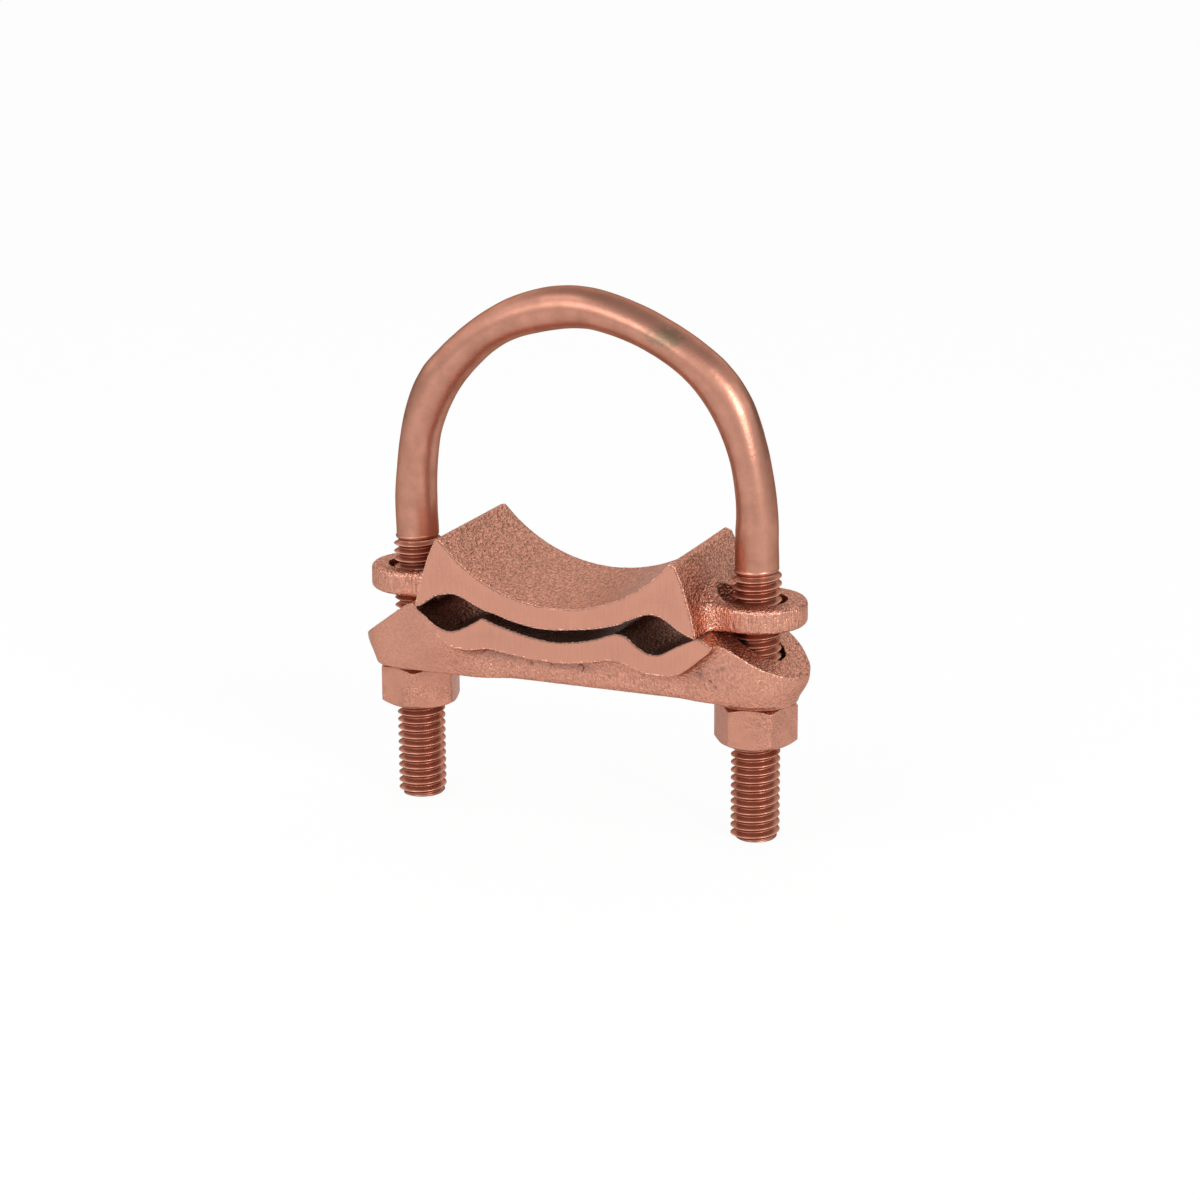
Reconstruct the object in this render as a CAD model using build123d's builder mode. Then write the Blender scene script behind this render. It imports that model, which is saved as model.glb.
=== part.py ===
from build123d import *

import os
from math import asin, cos, degrees, radians, sqrt, tan

# The clamp's frame: the origin is the centre of the pipe seat's arc, the pipe
# runs along Y, the legs of the U-bolt hang down -Z, and the castings are
# symmetric about the planes X = 0 and Y = 0. Lengths are in millimetres.

# pipe seat and cable grooves
seat_radius = 31.0
casting_depth = 30.4
groove_radius = 3.85
groove_offset = 21.3
groove_drop = 3.7
corner_reach = 29.4

# saddle
horn_reach = 23.7
horn_land = 1.0
horn_fall = 0.3
flank_radius = 90.0
web_thickness = 5.05
web_radius = 50.0
lug_radius = 9.2
lug_thickness = 4.4
lug_rise = 0.5
lug_root_radius = 4.0
lug_root_width = 6.0
lug_root_span = 26.0
lug_root_inset = 1.4
slot_width = 11.2
slot_inner_gap = 2.9
slot_outer_gap = 1.4
saddle_rounding = 0.6

# U-bolt
leg_spacing = 71.4
rod_diameter = 8.4
thread_diameter = 9.525
leg_end = -77.4
thread_end = -23.2
straight_end = -16.2
bend_radius = 66.0
bend_angle = 11.5
shoulder_radius = 31.0
shoulder_angle = 30.0
leg_end_chamfer = 0.7

# keeper bar
saddle_gap = 2.2
keeper_arc_radius = 34.8
ridge_rounding = 1.0
crest_land = 1.0
shoulder_slope = 32.0
flange_thickness = 4.1
flange_overrun = 0.3
flange_ridge_radius = 5.0
flange_overhang = 4.7
flange_root_land = 0.7
bar_draft = 4.0
bar_height = 14.3
bar_rounding = 1.6
pad_inset = 2.8
pad_height = 1.2
keeper_hole_clearance = 0.79

# nuts
nut_across_flats = 14.29
nut_height = 8.33
nut_face_radius = 6.7
nut_edge_radius = 0.8
nut_chamfer_angle = 30.0
nut_countersink = 0.4
nut_left_angle = 44.5
nut_right_angle = 10.5
thread_clearance = 0.06

# levels and reaches that the sizes above settle
half_depth = casting_depth / 2
leg_offset = leg_spacing / 2
thread_radius = thread_diameter / 2
groove_level = -seat_radius - groove_drop
groove_slope = asin(groove_radius / (corner_reach - groove_offset))
groove_rise = tan(groove_slope)
groove_apex = groove_radius / cos(groove_slope)
web_bottom = -seat_radius - web_thickness
lug_bottom = groove_level + lug_rise
lug_top = lug_bottom + lug_thickness
keeper_top = web_bottom - saddle_gap
bar_bottom = lug_bottom - bar_height
pad_bottom = bar_bottom - pad_height
hair = 0.01

section_plane = Plane.XZ.offset(-half_depth)


def flank_level(apex, rise, reach):
    """Height of a groove's inner flank at a distance from the middle plane."""
    return apex + rise * (groove_offset - reach)


def ridge_point(radius, lowest, apex, rise):
    """Where the arc across the middle meets the inner flank of a groove."""
    centre = flank_level(apex, rise, 0) - lowest - radius
    spread = 1 + rise**2
    root = sqrt(spread * radius**2 - centre**2)
    side = 1 if rise > 0 else -1
    reach = (side * root - rise * -centre) / spread
    return (reach, flank_level(apex, rise, reach))


# U-bolt: two threaded legs, and an arch of five tangent arcs between them
first_turn = radians(bend_angle)
second_turn = radians(bend_angle + shoulder_angle)
bend_inset = bend_radius * (1 - cos(first_turn))
shoulder_inset = shoulder_radius * (cos(first_turn) - cos(second_turn))
crown_radius = (leg_offset - bend_inset - shoulder_inset) / cos(second_turn)

with BuildPart() as u_bolt:
    with BuildLine(Plane.XZ) as rod_path:
        leg = Line((leg_offset, leg_end), (leg_offset, straight_end))
        bend = JernArc(leg @ 1, leg % 1, bend_radius, bend_angle)
        shoulder = JernArc(bend @ 1, bend % 1, shoulder_radius, shoulder_angle)
        JernArc(shoulder @ 1, shoulder % 1, crown_radius, 90 - bend_angle - shoulder_angle)
        mirror(about=Plane.YZ)
    with BuildSketch(Plane.XY.offset(leg_end)):
        with Locations((leg_offset, 0)):
            Circle(rod_diameter / 2)
    sweep(path=rod_path.wires()[0])
    with BuildSketch(Plane.XY.offset(leg_end)):
        with Locations((-leg_offset, 0), (leg_offset, 0)):
            Circle(thread_radius)
    extrude(amount=thread_end - leg_end)
    leg_tips = u_bolt.faces().sort_by(Axis.Z)[:2]
    chamfer(leg_tips.edges(), leg_end_chamfer)

u_bolt.part.label = "u_bolt"

# saddle: pipe seat above, cable grooves below, and a slotted lug round each leg
roof_apex = groove_level + groove_apex
horn_level = -sqrt(seat_radius**2 - horn_reach**2)
lug_root_reach = corner_reach - lug_root_inset
slot_inner = leg_offset - thread_radius - slot_inner_gap
slot_outer = leg_offset + thread_radius + slot_outer_gap
slot_middle = (slot_inner + slot_outer) / 2

with BuildPart() as saddle:
    with BuildSketch(Plane.XY.offset(lug_bottom)) as lug_plan:
        with Locations((-leg_offset, 0), (leg_offset, 0)):
            Circle(lug_radius)
        with Locations((-lug_root_reach, 0)):
            Rectangle(lug_root_width, lug_root_span, align=(Align.MIN, Align.CENTER))
        with Locations((lug_root_reach, 0)):
            Rectangle(lug_root_width, lug_root_span, align=(Align.MAX, Align.CENTER))
        roots = lug_plan.vertices().filter_by_position(Axis.Y, -lug_radius, lug_radius)
        fillet(roots, lug_root_radius)
    extrude(amount=lug_thickness)
    lug_rims = saddle.edges().filter_by_position(Axis.Z, lug_top - hair, lug_top + hair)
    fillet(lug_rims.filter_by(GeomType.CIRCLE), saddle_rounding)
    with BuildSketch(Plane.XY.offset(lug_bottom)):
        with Locations((-slot_middle, 0), (slot_middle, 0)):
            SlotOverall(slot_outer - slot_inner, slot_width)
    extrude(amount=lug_thickness, mode=Mode.SUBTRACT)
    with BuildSketch(section_plane) as tunnels:
        with BuildLine():
            Polyline(
                (corner_reach, groove_level),
                (groove_offset, roof_apex),
                (2 * groove_offset - corner_reach, groove_level),
                close=True,
            )
        make_face()
        peak = tunnels.vertices().filter_by_position(Axis.Y, roof_apex - hair, roof_apex + hair)
        fillet(peak, groove_radius)
        mirror(about=Plane.YZ)
    extrude(amount=casting_depth, mode=Mode.SUBTRACT)
    with BuildSketch(section_plane) as saddle_section:
        with BuildLine():
            seat = CenterArc((0, 0), seat_radius, -90, degrees(asin(horn_reach / seat_radius)))
            land = Line(seat @ 1, (horn_reach + horn_land, horn_level - horn_fall))
            flank = RadiusArc(land @ 1, (corner_reach, groove_level), flank_radius)
            roof = Line(flank @ 1, (groove_offset, roof_apex))
            web_edge = ridge_point(web_radius, web_bottom, roof_apex, -groove_rise)
            Line(roof @ 1, web_edge)
            RadiusArc(web_edge, (0, web_bottom), web_radius)
            mirror(about=Plane.YZ)
        make_face()
        corners = saddle_section.vertices()
        fillet(corners.filter_by_position(Axis.Y, roof_apex - hair, roof_apex + hair), groove_radius)
        horns = saddle_section.vertices().filter_by_position(Axis.Y, lug_top, 0)
        fillet(horns, saddle_rounding)
    extrude(amount=casting_depth)

saddle.part.label = "saddle"

# keeper bar: a grooved flange on a drafted body, with a pad under each nut hole
trough_apex = groove_level - groove_apex
crest_reach = corner_reach + lug_rise / groove_rise
shoulder_start = crest_reach + crest_land
flange_reach = shoulder_start + flange_overrun
flange_root_radius = flange_overhang - flange_root_land
bar_end_radius = half_depth - flange_overhang
pad_radius = bar_end_radius - pad_inset
bar_reach = leg_offset + bar_end_radius
tip_level = lug_bottom - (bar_reach - shoulder_start) * tan(radians(shoulder_slope))
foot_radius = bar_end_radius - bar_height / 2 * tan(radians(bar_draft))
flange_drop = lug_bottom - groove_level + groove_radius + flange_thickness
hole_radius = thread_radius + keeper_hole_clearance

with BuildSketch() as keeper_section:
    with BuildLine():
        ridge = ridge_point(keeper_arc_radius, keeper_top, trough_apex, groove_rise)
        RadiusArc((0, keeper_top), ridge, -keeper_arc_radius)
        Polyline(
            ridge,
            (groove_offset, trough_apex),
            (crest_reach, lug_bottom),
            (shoulder_start, lug_bottom),
            (bar_reach, tip_level),
            (bar_reach, bar_bottom),
            (0, bar_bottom),
        )
        mirror(about=Plane.YZ)
    make_face()
    troughs = keeper_section.vertices().filter_by_position(Axis.Y, trough_apex - hair, trough_apex + hair)
    fillet(troughs, groove_radius)
    ridges = keeper_section.vertices().filter_by_position(Axis.Y, ridge[1] - hair, ridge[1] + hair)
    fillet(ridges.filter_by_position(Axis.X, -ridge[0] - hair, ridge[0] + hair), ridge_rounding)

with BuildSketch() as flange_section:
    add(keeper_section.sketch)
    offset(amount=-flange_thickness, kind=Kind.INTERSECTION, mode=Mode.SUBTRACT)
    with Locations((0, lug_bottom)):
        Rectangle(2 * flange_reach, flange_drop, align=(Align.CENTER, Align.MAX), mode=Mode.INTERSECT)
    middle_reach = groove_offset - groove_radius
    bends = flange_section.vertices().filter_by_position(Axis.X, -middle_reach, middle_reach)
    fillet(bends.group_by(Axis.Y)[0], flange_ridge_radius)

with BuildPart() as keeper_bar:
    with BuildSketch(Plane.XY.offset(bar_bottom)):
        SlotCenterToCenter(leg_spacing, 2 * foot_radius)
    extrude(amount=bar_height, taper=-bar_draft)
    foot_edges = keeper_bar.edges().filter_by_position(Axis.Z, bar_bottom - hair, bar_bottom + hair)
    fillet(foot_edges, bar_rounding)
    with BuildSketch(section_plane):
        add(keeper_section.sketch)
    extrude(amount=casting_depth, mode=Mode.INTERSECT)
    with BuildSketch(section_plane):
        add(flange_section.sketch)
    extrude(amount=casting_depth)
    walls = keeper_bar.edges().filter_by(lambda e: abs(abs(e.center().Y) - bar_end_radius) < 1)
    walls = walls.filter_by_position(Axis.X, -flange_reach, flange_reach)
    fillet(
        walls.filter_by_position(Axis.Z, bar_bottom + 2 * bar_rounding, lug_bottom - flange_thickness),
        flange_root_radius,
    )
    with BuildSketch(Plane.XY.offset(pad_bottom)):
        with Locations((-leg_offset, 0), (leg_offset, 0)):
            Circle(pad_radius)
    extrude(amount=pad_height)
    with BuildSketch(Plane.XY.offset(pad_bottom)):
        with Locations((-leg_offset, 0), (leg_offset, 0)):
            Circle(hole_radius)
    extrude(amount=lug_bottom - pad_bottom, mode=Mode.SUBTRACT)

keeper_bar.part.label = "keeper_bar"

# nuts: hexagons with both ends chamfered, pulled up against the pads
nut_bottom = pad_bottom - nut_height
nut_corner = nut_across_flats / 2 / cos(radians(30))
nut_chamfer = (nut_corner - nut_face_radius) * tan(radians(nut_chamfer_angle))
bore_radius = thread_radius + thread_clearance


def hex_nut(centre, turn):
    """A nut on the leg at this X, with its corners turned by an angle in degrees."""
    nut_axis = Plane((centre, 0, nut_bottom), x_dir=(1, 0, 0), z_dir=(0, -1, 0))
    with BuildPart() as nut:
        with BuildSketch(Plane.XY.offset(nut_bottom)) as outline:
            with Locations((centre, 0)):
                RegularPolygon(nut_across_flats / 2, 6, major_radius=False, rotation=turn)
            fillet(outline.vertices(), nut_edge_radius)
        extrude(amount=nut_height)
        with BuildSketch(nut_axis):
            with BuildLine():
                Polyline(
                    (0, 0),
                    (nut_face_radius, 0),
                    (nut_corner, nut_chamfer),
                    (nut_corner, nut_height - nut_chamfer),
                    (nut_face_radius, nut_height),
                    (0, nut_height),
                    close=True,
                )
            make_face()
        revolve(axis=Axis((centre, 0, 0), (0, 0, 1)), mode=Mode.INTERSECT)
        with Locations((centre, 0, pad_bottom)):
            Hole(bore_radius, nut_height)
        bore_rims = nut.edges().filter_by(GeomType.CIRCLE)
        chamfer(bore_rims.filter_by(lambda e: e.radius < bore_radius + hair), nut_countersink)
    return nut.part


nut_left = hex_nut(-leg_offset, nut_left_angle)
nut_left.label = "nut_left"
nut_right = hex_nut(leg_offset, nut_right_angle)
nut_right.label = "nut_right"

os.makedirs("parts", exist_ok=True)
export_step(u_bolt.part, "parts/u_bolt.step")
export_step(saddle.part, "parts/saddle.step")
export_step(keeper_bar.part, "parts/keeper_bar.step")
export_step(nut_left, "parts/nut_left.step")
export_step(nut_right, "parts/nut_right.step")
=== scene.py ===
import bpy
import bmesh
import numpy as np
from math import cos, pi, radians, sin, sqrt, tan
from mathutils import Matrix, Vector, noise


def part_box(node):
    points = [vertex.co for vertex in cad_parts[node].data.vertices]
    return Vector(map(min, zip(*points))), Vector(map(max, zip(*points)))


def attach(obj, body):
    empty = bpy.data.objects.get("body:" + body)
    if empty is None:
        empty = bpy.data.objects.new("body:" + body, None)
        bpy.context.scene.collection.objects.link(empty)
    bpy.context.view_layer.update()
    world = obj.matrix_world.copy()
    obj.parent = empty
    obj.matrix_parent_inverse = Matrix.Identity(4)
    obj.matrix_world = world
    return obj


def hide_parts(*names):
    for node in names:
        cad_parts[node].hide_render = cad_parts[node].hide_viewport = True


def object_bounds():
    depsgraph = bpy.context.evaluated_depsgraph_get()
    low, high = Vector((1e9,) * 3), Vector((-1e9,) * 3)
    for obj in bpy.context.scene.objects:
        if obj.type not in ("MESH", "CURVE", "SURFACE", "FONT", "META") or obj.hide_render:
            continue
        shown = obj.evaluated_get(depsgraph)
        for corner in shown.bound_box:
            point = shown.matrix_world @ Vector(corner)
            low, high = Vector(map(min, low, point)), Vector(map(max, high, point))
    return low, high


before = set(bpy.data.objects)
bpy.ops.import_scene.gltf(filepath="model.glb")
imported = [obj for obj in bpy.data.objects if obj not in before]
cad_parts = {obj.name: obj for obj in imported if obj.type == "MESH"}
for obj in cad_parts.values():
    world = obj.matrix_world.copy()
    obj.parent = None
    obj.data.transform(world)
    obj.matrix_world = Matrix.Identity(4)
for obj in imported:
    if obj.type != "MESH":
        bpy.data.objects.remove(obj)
cadLow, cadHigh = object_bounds()
mm = 0.001
weldGap = 0.002 * mm  # points nearer to each other than this become one
legWidth = 9.525 * mm  # outer diameter of a threaded leg
rodLow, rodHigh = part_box("u_bolt")
legOffset = (rodHigh.x - rodLow.x - legWidth) / 2  # from the middle plane to a leg's axis
print("frame loaded")


def smoothStep(low, high, value):
    t = min(1.0, max(0.0, (value - low) / (high - low)))
    return t * t * (3 - 2 * t)


def newPiece(name, mesh, node, material):
    # a piece that rides on the body of the node that it stands for
    piece = bpy.data.objects.new(name, mesh)
    bpy.context.scene.collection.objects.link(piece)
    mesh.materials.append(material)
    for face in mesh.polygons:
        face.use_smooth = True
    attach(piece, node)
    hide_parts(node)


def meshFrom(name, points, faces):
    mesh = bpy.data.meshes.new(name)
    mesh.from_pydata(points, [], faces)
    tidy = bmesh.new()
    tidy.from_mesh(mesh)
    bmesh.ops.remove_doubles(tidy, verts=tidy.verts, dist=weldGap)
    bmesh.ops.dissolve_degenerate(tidy, edges=tidy.edges, dist=weldGap / 2)
    bmesh.ops.recalc_face_normals(tidy, faces=tidy.faces)
    tidy.to_mesh(mesh)
    tidy.free()
    return mesh


def markPoints(mesh, title, values):
    # a number for each point, which the materials read by its title
    mesh.attributes.new(title, "FLOAT", "POINT").data.foreach_set("value", values)


thread = {
    "pitch": 1.5875 * mm,
    "crest": 4.76 * mm,
    "root": 3.72 * mm,
    "shank": 4.2 * mm,
    "start": -77.4 * mm,  # leg end
    "stop": -23.2 * mm,  # end of the runout
    "runout": 2.2 * mm,
    "chamfer": 0.75 * mm,
    "columns": 84,
    "spareTurns": 2,  # below the leg's end, which cuts them off
    "phase": {-1: 0.54, 1: 0.42},  # where the turns start on the left and the right leg
    # how far under the crest the painted shade of the roots and the painted highlight of the crests
    # start, and where they are full
    "marks": {"root": (0.03 * mm, 0.4 * mm), "crest": (0.12 * mm, 0.02 * mm)},
    # one tooth: share of a turn, and share of the thread's depth
    "rows": ((0.0, 0.0), (0.04, 0.0), (0.08, 0.06), (0.2, 0.32), (0.34, 0.66), (0.45, 0.93),
             (0.482, 1.0), (0.518, 1.0), (0.55, 0.93), (0.66, 0.66), (0.8, 0.32), (0.92, 0.06),
             (0.96, 0.0)),
}


def phaseOf(x):
    return thread["phase"][1 if x > 0 else -1]


def threadDepth(share):
    rows = thread["rows"] + ((1.0, 0.0),)
    for (a, low), (b, high) in zip(rows, rows[1:]):
        if share <= b:
            return low + (high - low) * (share - a) / (b - a)
    return 0.0


def threadRadius(z, turn):
    share = ((z - thread["start"]) / thread["pitch"] - turn) % 1.0
    radius = thread["root"] + (thread["crest"] - thread["root"]) * threadDepth(share)
    fade = smoothStep(thread["stop"] - thread["runout"], thread["stop"], z)
    return radius + (thread["shank"] - radius) * fade


def threadedLeg(x):
    # each row climbs one pitch in a turn, so its end meets the start of the row one turn above
    points, faces = [], []
    columns, rows, pitch = thread["columns"], thread["rows"], thread["pitch"]
    phase = phaseOf(x)
    turns = int((thread["stop"] - thread["start"]) / pitch) + 2 + thread["spareTurns"]
    count = turns * len(rows)
    for index in range(count):
        whole, part = divmod(index, len(rows))
        climb = whole - thread["spareTurns"] + rows[part][0]
        for column in range(columns):
            turn = column / columns
            z = thread["start"] + (climb + turn + phase) * pitch
            z = min(thread["stop"], max(thread["start"], z))
            chamfered = thread["crest"] - thread["chamfer"] + (z - thread["start"])
            radius = min(threadRadius(z, turn + phase), chamfered)
            angle = 2 * pi * turn
            points.append((x + radius * cos(angle), radius * sin(angle), z))
    for index in range(count):
        for column in range(columns):
            last = column == columns - 1
            row, after = (index + len(rows), 0) if last else (index, column + 1)
            if max(index, row) + 1 < count:
                faces.append([index * columns + column, row * columns + after,
                              (row + 1) * columns + after, (index + 1) * columns + column])
    return points, faces


def legCap(x):
    points, faces = [(x, 0, thread["start"])], []
    columns = thread["columns"]
    chamfered = thread["crest"] - thread["chamfer"]
    for column in range(columns):
        turn = column / columns
        radius = min(chamfered, threadRadius(thread["start"], turn + phaseOf(x)))
        angle = 2 * pi * turn
        points.append((x + radius * cos(angle), radius * sin(angle), thread["start"]))
    for column in range(columns):
        faces.append([0, 1 + column, 1 + (column + 1) % columns])
    return points, faces


uBolt = {
    "straightEnd": -16.2 * mm,
    "bend": (66.0 * mm, 11.5),  # radius and degrees, above the straight leg
    "shoulder": (31.0 * mm, 30.0),  # the crown takes the rest
    "step": 0.8 * mm,
    "fewestSteps": 4,  # in one arc
    "settle": 5 * mm,  # the unevenness grows over this length above the thread
    # heading in degrees from the left leg to the right one, how far the axis lies outside its
    # arc, and how much the bending has swollen the rod's radius (below 0: pinched it), in mm
    "bends": ((0, 0.17, -0.04), (5, 0.07, -0.27), (11, 0.13, -0.35), (19, 0.08, -0.16),
              (27, 0.11, 0.0), (34, 0.09, -0.03), (41, -0.13, -0.26), (48, -0.17, -0.41),
              (54, -0.04, -0.51), (61, 0.11, -0.49), (67, 0.18, -0.31), (74, 0.13, -0.11),
              (80, 0.21, -0.03), (87, 0.28, -0.12), (93, 0.21, -0.29), (100, -0.16, -0.40),
              (106, -0.39, -0.51), (116, -0.53, -0.59), (122, -0.42, -0.57), (129, -0.21, -0.48),
              (135, 0.0, -0.25), (142, 0.02, -0.09), (150, -0.06, -0.10), (157, -0.23, -0.28),
              (163, -0.27, -0.44), (170, -0.15, -0.50), (175, -0.01, -0.38), (178, 0.0, -0.24),
              (180, -0.05, -0.1)),
    "widening": 0.3,  # share of the pinch that goes sideways
}


def archLine():
    bendRadius, bendAngle = uBolt["bend"]
    shoulderRadius, shoulderAngle = uBolt["shoulder"]
    first, second = radians(bendAngle), radians(bendAngle + shoulderAngle)
    inset = bendRadius * (1 - cos(first)) + shoulderRadius * (cos(first) - cos(second))
    crownRadius = (legOffset - inset) / cos(second)
    runs = [(bendRadius, first), (shoulderRadius, second - first), (crownRadius, pi / 2 - second)]
    spot, heading = Vector((-legOffset, 0, uBolt["straightEnd"])), 0.0  # turns from +Z to +X
    line = [(Vector((-legOffset, 0, thread["stop"])), 0.0)]
    steps = int((uBolt["straightEnd"] - thread["stop"]) / uBolt["step"])
    for index in range(1, steps):
        line.append((Vector((-legOffset, 0, thread["stop"] + index * uBolt["step"])), 0.0))
    line.append((spot.copy(), 0.0))
    for radius, angle in runs:
        steps = max(uBolt["fewestSteps"], round(radius * angle / uBolt["step"]))
        centre = spot + Vector((cos(heading), 0, -sin(heading))) * radius
        for index in range(1, steps + 1):
            now = heading + angle * index / steps
            line.append((centre - Vector((cos(now), 0, -sin(now))) * radius, now))
        spot, heading = line[-1][0].copy(), heading + angle
    right = [(Vector((-p.x, 0, p.z)), pi - h) for p, h in reversed(line[:-1])]
    return line + right


def archTube():
    points, faces = [], []
    columns = thread["columns"]
    line = archLine()
    headings, shifts, pinches = zip(*uBolt["bends"])
    for spot, heading in line:
        outward = Vector((-cos(heading), 0, sin(heading)))
        settled = smoothStep(thread["stop"], thread["stop"] + uBolt["settle"], spot.z)
        shift = np.interp(np.degrees(heading), headings, shifts) * settled * mm
        pinch = np.interp(np.degrees(heading), headings, pinches) * settled * mm
        flat, wide = thread["shank"] + pinch, thread["shank"] - pinch * uBolt["widening"]
        for column in range(columns):
            angle = 2 * pi * column / columns
            sideways = Vector((0, wide * sin(angle), 0))
            points.append(spot + outward * (shift + flat * cos(angle)) + sideways)
    for index in range(len(line) - 1):
        for column in range(columns):
            after = (column + 1) % columns
            faces.append([index * columns + column, index * columns + after,
                          (index + 1) * columns + after, (index + 1) * columns + column])
    return points, faces


def buildUBolt(material):
    points, faces = [], []
    parts = [archTube()]
    for shape in (threadedLeg, legCap):
        parts += [shape(-legOffset), shape(legOffset)]
    for partPoints, partFaces in parts:
        base = len(points)
        points += [tuple(p) for p in partPoints]
        faces += [[base + i for i in face] for face in partFaces]
    mesh = meshFrom("uBoltRod", points, faces)
    crest, stop = thread["crest"], thread["stop"]
    for title, (start, full) in thread["marks"].items():
        values = []
        for vertex in mesh.vertices:
            spot = vertex.co
            away = sqrt((abs(spot.x) - legOffset) ** 2 + spot.y ** 2)
            threaded = smoothStep(stop, stop - thread["runout"], spot.z)
            values.append(threaded * smoothStep(crest - start, crest - full, away))
        markPoints(mesh, title, values)
    newPiece("uBoltRod", mesh, "u_bolt", material)


def curveThrough(points, perRun=8):
    # a smooth line through the points
    line = []
    ends = [points[0]] + list(points) + [points[-1]]
    for a, b, c, d in zip(ends, ends[1:], ends[2:], ends[3:]):
        for step in range(perRun):
            t = step / perRun
            line.append(tuple(
                0.5 * (2 * q + (r - p) * t + (2 * p - 5 * q + 4 * r - s) * t * t
                       + (3 * q - p - 3 * r + s) * t ** 3)
                for p, q, r, s in zip(a, b, c, d)))
    return line + [points[-1]]


def outlineField(points, x, z):
    # distance to a closed outline drawn in X and Z, less than zero inside it
    farAway, tiny = 1e9, 1e-9
    gridX, gridZ = np.meshgrid(x, z, indexing="ij")
    nearest = np.full(gridX.shape, farAway)
    inside = np.zeros(gridX.shape, bool)
    for (x0, z0), (x1, z1) in zip(points, points[1:] + points[:1]):
        runX, runZ = x1 - x0, z1 - z0
        length = runX * runX + runZ * runZ
        if length < tiny:
            continue
        share = np.clip(((gridX - x0) * runX + (gridZ - z0) * runZ) / length, 0, 1)
        away = (gridX - x0 - runX * share) ** 2 + (gridZ - z0 - runZ * share) ** 2
        nearest = np.minimum(nearest, away)
        if abs(runZ) > tiny:
            crossed = (z0 > gridZ) != (z1 > gridZ)
            inside ^= crossed & (gridX - x0 < (gridZ - z0) * runX / runZ)
    return (np.where(inside, -1, 1) * np.sqrt(nearest))[:, None, :]


def softUnion(a, b, reach):
    share = np.maximum(reach - np.abs(a - b), 0) / reach
    return np.minimum(a, b) - share * share * reach / 4


def softMeet(a, b, reach):
    return -softUnion(-a, -b, reach)


def roundedBoth(a, b, radius):
    # the space inside both, with the edge between them rounded
    return (np.minimum(np.maximum(a + radius, b + radius), 0)
            + np.hypot(np.maximum(a + radius, 0), np.maximum(b + radius, 0)) - radius)


def tilted(field, other, lean):
    # a plane that leans from one field's surface towards another's
    return (field + other * lean) / sqrt(1 + lean ** 2)


def blurred(field, reach):
    for axis in range(3):
        shifted = (np.roll(field, shift, axis) for shift in range(-reach, reach + 1))
        field = sum(shifted) / (2 * reach + 1)
    return field


def fieldAt(field, spots):
    low = np.clip(np.floor(spots).astype(int), 0, np.array(field.shape) - 2)
    part = spots - low
    total = np.zeros(len(spots))
    for corner in np.ndindex(2, 2, 2):
        weight = np.prod(np.where(corner, part, 1 - part), axis=1)
        total += weight * field[tuple((low + corner).T)]
    return total


def skinOf(field):
    # one vertex in each cell that the skin passes through, and one quad across each cut grid edge
    solid = field < 0
    cells = tuple(n - 1 for n in field.shape)
    cut = np.zeros(cells, int)
    for corner in np.ndindex(2, 2, 2):
        cut += solid[tuple(slice(c, c + n) for c, n in zip(corner, cells))]
    spots = np.argwhere((cut > 0) & (cut < 8))
    number = np.full(cells, -1)
    number[tuple(spots.T)] = np.arange(len(spots))
    total, count = np.zeros((len(spots), 3)), np.zeros(len(spots))
    for start in np.ndindex(2, 2, 2):
        for axis in range(3):
            if start[axis]:
                continue
            stop = tuple(1 if i == axis else s for i, s in enumerate(start))
            a, b = field[tuple((spots + start).T)], field[tuple((spots + stop).T)]
            crossed = (a < 0) != (b < 0)
            share = np.where(crossed, a / np.where(crossed, a - b, 1), 0)
            place = np.tile(np.array(start, float), (len(spots), 1))
            place[:, axis] += share
            total += place * crossed[:, None]
            count += crossed
    points = spots + total / count[:, None]
    quads = []
    for axis in range(3):
        first, second = [i for i in range(3) if i != axis]
        near = [slice(1, -1)] * 3
        near[axis] = slice(0, -1)
        far = list(near)
        far[axis] = slice(1, None)
        edges = np.argwhere(solid[tuple(near)] != solid[tuple(far)])
        for i in (first, second):
            edges[:, i] += 1
        ring = []
        for i, j in ((1, 1), (0, 1), (0, 0), (1, 0)):
            cell = edges.copy()
            cell[:, first] -= i
            cell[:, second] -= j
            ring.append(number[tuple(cell.T)])
        ring = np.stack(ring, 1)
        turned = solid[tuple(edges.T)] != (axis == 1)
        ring[turned] = ring[turned][:, ::-1]
        quads.append(ring[:, ::-1])
    return points, np.concatenate(quads)


casting = {  # for both castings, in millimetres
    "voxel": 0.25,
    "margin": 1,  # of the grid round a casting
    "aside": 60,  # outlines close this far out and this far down, outside the casting
    "below": -80,
    "halfDepth": 15.2,
    "wearReach": 1,  # in voxels
    "cavityReach": 9,
    "grainWaves": ((0.5, 0.02), (1.3, 0.028)),  # waves per mm and their height
    "grainEdge": 0.6,  # the relief fades this near to the ground faces
    "groundFace": (0.05, 0.8),  # how far in a ground face still is, and how squarely it looks out
    "grooveShade": (1.6, 0.25, 30.2),  # painted shade along the grooves: strength, how fast it fades off the grooves, and its half length
    "unrubbed": (0.9, 31, 0.8),  # gap from the grooves' edge, half length, share of wear taken off
    "wearFade": 0.3,  # in a normal's Z
    "upright": (0.5, 0.15),
    "trim": (30, 2),  # where an end's trimmed side starts, and how fast
    "trimSmooth": 0.6,  # share of the grain that trimming takes off
}
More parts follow.
